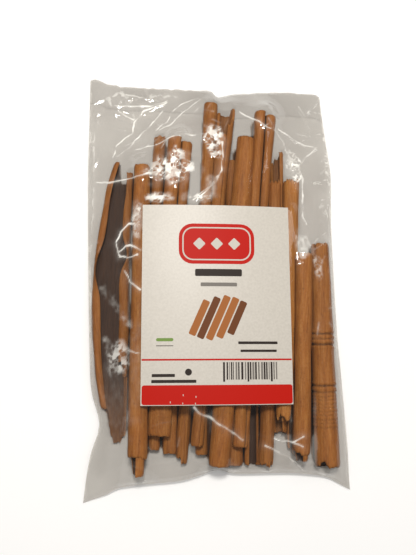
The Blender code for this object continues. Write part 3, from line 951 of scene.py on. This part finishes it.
PAINTED_GLINT_STREAKS = (
    (((-59, 9), (-51, -1), (-44, -11)), 1.9, 0.11),
    (((-49, -5), (-44, -11)), 1.1, 0.22),
    (((-57, -17), (-54, -23)), 1.5, 0.2),
)
for line, half_width, strength in PAINTED_GLINT_STREAKS:
    far = distance_to_line(plan, line) / half_width + 0.5 * unevenness(x / 2.0, y / 2.6, 68)
    painted_sheen_and_glints = np.maximum(painted_sheen_and_glints, strength * ease(1.4 - far) * (0.6 + 0.8 * unevenness(x / 1.4, y / 1.8, 69)))
print("haziest patch:", round(painted_sheen_and_glints.max(), 2))

# %% [markdown]
# The front sheet lies on the sticks like a tent on its poles. The sticks and the label hold it up, and
# from each of them it falls away no steeper than a given slope. Where it hangs free it has broad soft
# folds, at the rim it meets the back sheet in the seam, and nowhere does it sink into a stick. Away from
# the sticks a thin white veil lies over it: dust, and painted light that lifts the shade under it, a
# little lighter towards the left.

# %% What holds the front sheet up
FILM_OVER_STICK = 0.15
UNDER_LABEL_GAP = 0.05
LABEL_MARGIN = 0.6
SHEET_INSET = 0.995
NO_SUPPORT = -100.0
stick_points, stick_faces = [], []
for stick in sticks:
    count = sum(len(points) for points in stick_points)
    coordinates = np.array([vertex.co for vertex in stick.data.vertices])
    stick_points.append((coordinates - [*label_centre, 0.0]) / MM)
    stick_faces += [tuple(index + count for index in face.vertices) for face in stick.data.polygons]
read_sticks = height_reader(np.concatenate(stick_points), stick_faces, -1)
over_sticks = read_sticks(plan) + FILM_OVER_STICK

label_points, label_faces = packed("label")
LABEL_HALF = np.array([(label_high - label_low)[axis] / MM / 2 for axis in (0, 1)])
to_label = np.max(np.abs(plan) - LABEL_HALF, axis=-1)
under_label = to_label < LABEL_MARGIN
inside_label = np.clip(plan, -LABEL_HALF * SHEET_INSET, LABEL_HALF * SHEET_INSET)
label_under = height_reader(label_points, label_faces, 1)(inside_label) - UNDER_LABEL_GAP
over_sticks = np.where(under_label, np.fmin(over_sticks, label_under), over_sticks)
supports = np.fmax(over_sticks, np.where(under_label, label_under, NO_SUPPORT))
print("film lifted over sticks at", int((supports > film_height).sum()), "points")

# %% The front sheet
FILM_SLOPE = 1.1
SEAM_RISE = 2.6
SOFT_FOLD = 0.7
LOOSE_BELOW, LOOSE_OVER = 9.0, 5.0
DUST_AND_PAINTED_LIGHT = 0.12
free = ease((to_label - 0.3) / 2.5)
inward = distance_to_line(plan, np.concatenate([rim, rim[:1]]))
soft_folds = SOFT_FOLD * (unevenness(x / 13, y / 8, 71) + 0.5 * unevenness(x / 5, y / 6, 72))
film_height = smoothed(np.maximum(-draped(-film_height, FILM_SLOPE), draped(supports, FILM_SLOPE)), 3)
loose = ease((LOOSE_BELOW - film_height) / LOOSE_OVER)
film_height += free * (crease_height + loose * np.maximum(soft_folds, -0.2))
film_height = seam_height + (film_height - seam_height) * ease(inward / SEAM_RISE)
film_height = np.maximum(film_height, supports)
film_height = np.where(under_label, np.minimum(film_height, label_under), film_height)
film_height = np.minimum(film_height, bag_high[2] / MM)
bare = (supports < 0).astype(float)        # 1 where neither a stick nor the label is underneath
open_share = ease(1.6 * smoothed(bare, 6) - 0.3) * ease((smoothed(bare, 40) - 0.25) / 0.25)
# Over open film, dust and a veil of painted light that lifts the shade beneath, lighter to the left.
dust_and_painted_light = open_share * (DUST_AND_PAINTED_LIGHT + 0.04 * unevenness(x / 12, y / 10, 73) - 0.0003 * x)
whitening_and_painted_highlight = np.maximum(whitening_and_painted_highlight, np.maximum(dust_and_painted_light, painted_sheen_and_glints)) * ease((to_label + 0.5) / 0.8)
print("film from", round(film_height.min(), 1), "to", round(film_height.max(), 1), "mm")

# %% [markdown]
# ### The film as a material
# Polypropylene has an IOR of 1.49, so a face seen straight on mirrors 4 % of the light and a face seen
# along its slope mirrors most of it. Fresnel drives that mix between looking through and mirroring.
# A crease is stress-whitened: it scatters light as well. So does the thin veil of dust that clings to
# the inside where no stick rubs it off, which the eye reads as a light grey. The same white share
# carries painted light: highlights along the creases and on crumpled facets, patches of painted sheen,
# streaks of painted glints, and over the open film a veil of light that lifts the shade beneath it.
# One attribute carries all of these.

# %% The front film
film = new_material("clear polypropylene film")
film_grain = add(film, "TexCoord")
film_waves = add(film, "TexNoise", {"Vector": film_grain.outputs["Object"]}, {"Scale": 420.0, "Detail": 3.0})
film_values = {"Strength": 0.3, "Distance": 0.22 * MM}
film_bump = add(film, "Bump", {"Height": film_waves.outputs["Fac"]}, film_values)
mirror_share = add(film, "Fresnel", values={"IOR": 1.49})
see_through = add(film, "BsdfTransparent", values={"Color": linear("#F7F7F6")})
mirror = add(film, "BsdfGlossy", {"Normal": film_bump.outputs["Normal"]}, {"Roughness": 0.08})
scatter = add(film, "BsdfDiffuse", values={"Color": linear("#FFFDF6")})
links = {0: mirror_share.outputs["Fac"], 1: see_through.outputs["BSDF"], 2: mirror.outputs["BSDF"]}
clear = add(film, "MixShader", links)
# Stress-whitening and dust, with painted highlights, sheen and light, as one white share.
whitening_and_highlight_share = add(film, "Attribute", attribute_name="whitening_and_painted_highlight")
links = {0: whitening_and_highlight_share.outputs["Fac"], 1: clear.outputs["Shader"], 2: scatter.outputs["BSDF"]}
front = add(film, "MixShader", links)
add(film, "OutputMaterial", {"Surface": front.outputs["Shader"]})


def film_sheet(name, plan, heights, material, upward=True):
    """A net of points as a sheet of film that faces up, or down for the back."""
    points = np.dstack([plan, heights]).reshape(-1, 3)
    faces = grid_faces(*heights.shape)
    return make_piece(name, points, faces[:, ::-1] if upward else faces, material)


WHITEST = 0.95
front_film = film_sheet("film_front", plan, film_height, film)
front_film.visible_shadow = False        # film this thin takes no light from what is under it
# The white share: stress-whitening, dust, and painted highlights, sheen and light.
paint(front_film, "whitening_and_painted_highlight", np.clip(WHITEST * whitening_and_painted_highlight, 0.0, 1.0))
print("front film:", 2 * len(front_film.data.polygons), "triangles")

# %% [markdown]
# ### The back sheet
# The back sheet is the same film, greyer because more dust lies on it. Under the sticks it is painted
# dark brown where they lie close together, for bark powder and for the shade that falls between and
# under them, and it clears towards the bag's edges. How much of a place the sticks cover, softened over
# a few millimetres, gives that powder and painted shade. At the top the open end of the bag is folded
# over behind, a second layer of film.

# %% The back film
backing = new_material("polypropylene film with dust and painted shade")
# Grey dust, and dark brown for bark powder and painted shade where the sticks lie close.
powder_and_painted_shade = add(backing, "Attribute", attribute_name="powder_and_painted_shade")
DUST_AND_SHADE_TONES = ((0.0, "#B5B1AD"), (0.6, "#6A5240"), (1.0, "#4A3222"))
DUST_AND_SHADE_COVER = ((0.0, "#E0E0E0"), (1.0, "#FFFFFF"))
dust_and_shade_tone = add(backing, "ValToRGB", {"Fac": powder_and_painted_shade.outputs["Fac"]}, stops=DUST_AND_SHADE_TONES)
cover = add(backing, "ValToRGB", {"Fac": powder_and_painted_shade.outputs["Fac"]}, stops=DUST_AND_SHADE_COVER)
backing_dust_and_shade = add(backing, "BsdfDiffuse", {"Color": dust_and_shade_tone.outputs["Color"]})
backing_clear = add(backing, "BsdfTransparent", values={"Color": linear("#F2F0EB")})
links = {0: cover.outputs["Color"], 1: backing_clear.outputs["BSDF"], 2: backing_dust_and_shade.outputs["BSDF"]}
backing_mix = add(backing, "MixShader", links)
add(backing, "OutputMaterial", {"Surface": backing_mix.outputs["Shader"]})

BACK_ROWS, BACK_COLUMNS = 220, 132
back_plan = film_plan(BACK_ROWS, BACK_COLUMNS)
back_inset = rim_middle + (back_plan - rim_middle) * RIM_INSET
back_height = np.nan_to_num(read_bag_back(back_inset), nan=RIM_BACK)
covered = np.isfinite(read_sticks(back_plan)).astype(float)
# Powder and painted shade, where the sticks cover the back sheet closely.
powder_and_shade_share = ease((smoothed(covered, 10) - 0.45) / 0.25)
back_film = film_sheet("film_back", back_plan, back_height, backing, upward=False)
paint(back_film, "powder_and_painted_shade", powder_and_shade_share)
print("back film from", round(back_height.min(), 2), "to", round(back_height.max(), 2), "mm")

# %% The fold behind the top
FOLD_DEPTH = 13.0
FOLD_ROWS = 16
FOLD_INSET = (0.995, 0.998)
FLAT_BACK, FOLD_GAP = 0.4, 0.35
fold_share = np.linspace(0.0, 1.0, FOLD_ROWS)[:, None, None]
fold_top = back_plan[1][None]
fold_depth = FOLD_DEPTH * (1 + 0.16 * unevenness(fold_top[..., 0] / 17, 2.5, 83))
fold_plan = fold_top - fold_share * np.dstack([0 * fold_depth, fold_depth])
fold_height = np.nan_to_num(read_bag_back(fold_plan * FOLD_INSET), nan=FLAT_BACK) + FOLD_GAP
film_sheet("film_fold", fold_plan, fold_height, backing, upward=False)
print("fold, mm:", round(float(np.ptp(fold_plan[..., 1])), 1), "deep")

# %% [markdown]
# ## The label
# The label is coated paper, stuck to the film over the sticks, so it arches with them and cockles a
# little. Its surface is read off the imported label, and the ink is laid on it as thin plates that follow
# the same surface. All its print is plain fields and simple shapes.

# %% The paper
PAPER_WHITE = "#C2BCB2"
PAPER_TONES = ((0.35, "#BAB4AA"), (0.65, PAPER_WHITE))
paper = new_material("coated label paper")
paper_place = add(paper, "TexCoord").outputs["Object"]
paper_fibre = add(paper, "TexNoise", {"Vector": paper_place}, {"Scale": 900.0, "Detail": 4.0})
paper_tone = add(paper, "ValToRGB", {"Fac": paper_fibre.outputs["Fac"]}, stops=PAPER_TONES)
paper_relief = {"Strength": 0.12, "Distance": 0.05 * MM}
paper_bump = add(paper, "Bump", {"Height": paper_fibre.outputs["Fac"]}, paper_relief)
links = {"Base Color": paper_tone.outputs["Color"], "Normal": paper_bump.outputs["Normal"]}
paper_shader = add(paper, "BsdfPrincipled", links, {"Roughness": 0.42, "IOR": 1.5})
add(paper, "OutputMaterial", {"Surface": paper_shader.outputs["BSDF"]})

read_label = height_reader(label_points, label_faces, -1)
LABEL_INSET = 0.999
COCKLE = 0.06
PAPER_THICKNESS = 0.2


def label_surface(places):
    """The height of the paper's face at plan places."""
    heights = read_label(np.clip(places, -LABEL_HALF * LABEL_INSET, LABEL_HALF * LABEL_INSET))
    return heights + COCKLE * (unevenness(places[..., 0] / 16, places[..., 1] / 21, 81) - 1)


label_x, label_y = np.linspace(-1, 1, 90), np.linspace(1, -1, 118)
paper_plan = np.stack(np.meshgrid(label_x * LABEL_HALF[0], label_y * LABEL_HALF[1]), axis=-1)
paper_face = np.dstack([paper_plan, label_surface(paper_plan)])
shell("label_paper", paper_face, paper_face - [0, 0, PAPER_THICKNESS], paper, "label")
print("label face from", round(paper_face[..., 2].min(), 1), "to", round(paper_face[..., 2].max(), 1), "mm")

# %% [markdown]
# ### The print
# Flexographic ink dries to a thin even coat with the sheen of the paper. Each field is a rounded
# rectangle: rows of points whose ends draw in near the top and the bottom, by the corners' radius.

# %% Inks and fields
LIFT = 0.03


def ink(name, colour):
    """A thin even coat of ink."""
    made = new_material(name)
    values = {"Base Color": linear(colour), "Roughness": 0.5, "Specular IOR Level": 0.12}
    shader = add(made, "BsdfPrincipled", values=values)
    add(made, "OutputMaterial", {"Surface": shader.outputs["BSDF"]})
    return made


red_ink, dark_ink = ink("red label ink", "#B21609"), ink("black label ink", "#2E2723")
grey_ink, green_ink = ink("grey label ink", "#75706A"), ink("green label ink", "#6F8A45")
brown_ink, deep_brown_ink = ink("brown label ink", "#9A5E30"), ink("deep brown label ink", "#653B20")
paper_ink = ink("white left free of ink", PAPER_WHITE)


def field(name, material, middle, size, corner=0.0, angle=0.0, layer=1):
    """A printed rounded rectangle, turned by an angle in degrees, that follows the label."""
    width, height = size
    corner = min(corner, width / 2, height / 2)
    inner_rows = np.linspace(-height / 2 + corner, height / 2 - corner, max(int(height / 2.5), 1) + 1)
    bend = corner * (1 - np.cos(np.linspace(0, np.pi / 2, 7)))[:-1] if corner > 0 else np.zeros(0)
    rows = np.concatenate([-height / 2 + bend, inner_rows, (height / 2 - bend)[::-1]])
    over = np.maximum(np.abs(rows) - (height / 2 - corner), 0.0)
    half = width / 2 - corner + np.sqrt(np.maximum(corner**2 - over**2, 0.0))
    half = np.maximum(half, 0.02)
    steps = np.linspace(-1, 1, max(int(width / 2.0), 2) + 1)
    flat_x, flat_y = half[:, None] * steps, np.broadcast_to(rows[:, None], (len(rows), len(steps)))
    turned = np.radians(angle)
    places = np.stack([middle[0] + flat_x * np.cos(turned) - flat_y * np.sin(turned),
                       middle[1] + flat_x * np.sin(turned) + flat_y * np.cos(turned)], axis=-1)
    face = np.dstack([places, label_surface(places) + LIFT * (layer + 1)])
    return shell(name, face, face - [0, 0, LIFT], material, "label")


# %% The fields of the label
field("print_banner", red_ink, (0.0, 30.4), (39.0, 21.0), corner=7.0)
field("print_banner_line", paper_ink, (0.0, 30.4), (35.4, 17.4), corner=5.4, layer=2)
field("print_banner_middle", red_ink, (0.0, 30.4), (34.0, 16.0), corner=4.8, layer=3)
for side, place in (("left", -9.0), ("middle", 0.0), ("right", 9.0)):
    name = f"print_banner_diamond_{side}"
    field(name, paper_ink, (place, 30.4), (4.6, 4.6), corner=0.6, angle=45, layer=4)
field("print_heading", dark_ink, (0.8, 15.4), (24.0, 3.7), corner=0.7)
field("print_subheading", grey_ink, (0.9, 9.3), (18.6, 1.9), corner=0.5)
for place, length, colour in ((-10.0, 19.0, brown_ink), (-5.2, 22.5, deep_brown_ink), (-0.4, 24.0, brown_ink),
                              (4.4, 22.0, brown_ink), (9.2, 18.0, deep_brown_ink)):
    field(f"print_bar_{int(place + 20)}", colour, (place + 0.9, -7.6), (3.7, length), corner=0.8, angle=-24)
field("print_mark", green_ink, (-26.4, -18.6), (8.6, 1.6), corner=0.8)
field("print_mark_line", grey_ink, (-26.4, -21.6), (8.6, 0.5), corner=0.2)
field("print_small_1", dark_ink, (20.5, -20.2), (20.2, 1.35), corner=0.3)
field("print_small_2", dark_ink, (20.8, -24.2), (18.6, 1.2), corner=0.3)
field("print_rule", red_ink, (0.0, -28.5), (75.6, 0.85))
field("print_small_3", dark_ink, (-27.0, -36.2), (11.4, 1.5), corner=0.3)
field("print_small_4", dark_ink, (-21.8, -39.1), (22.2, 1.5), corner=0.3)
field("print_dot", dark_ink, (-14.6, -34.6), (3.4, 3.4), corner=1.7)
field("print_base_band", red_ink, (0.1, -45.7), (75.4, 9.5), corner=1.2)
for place in ((-23.5, -49.2), (-17.2, -45.8), (-17.4, -49.8), (-10.9, -46.6), (-11.2, -49.9)):
    field(f"print_wear_{int(-10 * place[0])}", paper_ink, place, (0.35, 0.9), corner=0.1, layer=2)

# %% [markdown]
# The upright stripes are only a pattern: their widths come from a seeded draw and stand for nothing.

# %% The stripes
stripe_luck = np.random.default_rng(5)
place, stripes = 2.6, 0
while place < 30.6:
    width, gap = stripe_luck.uniform(0.35, 1.1), stripe_luck.uniform(0.35, 0.9)
    tall = 9.6 if stripes % 9 == 0 else 8.6
    colour = grey_ink if stripes % 3 == 2 else dark_ink
    field(f"print_stripe_{stripes}", colour, (place + width / 2, -29.8 - tall / 2), (width, tall))
    place, stripes = place + width + gap, stripes + 1
print(stripes, "stripes")
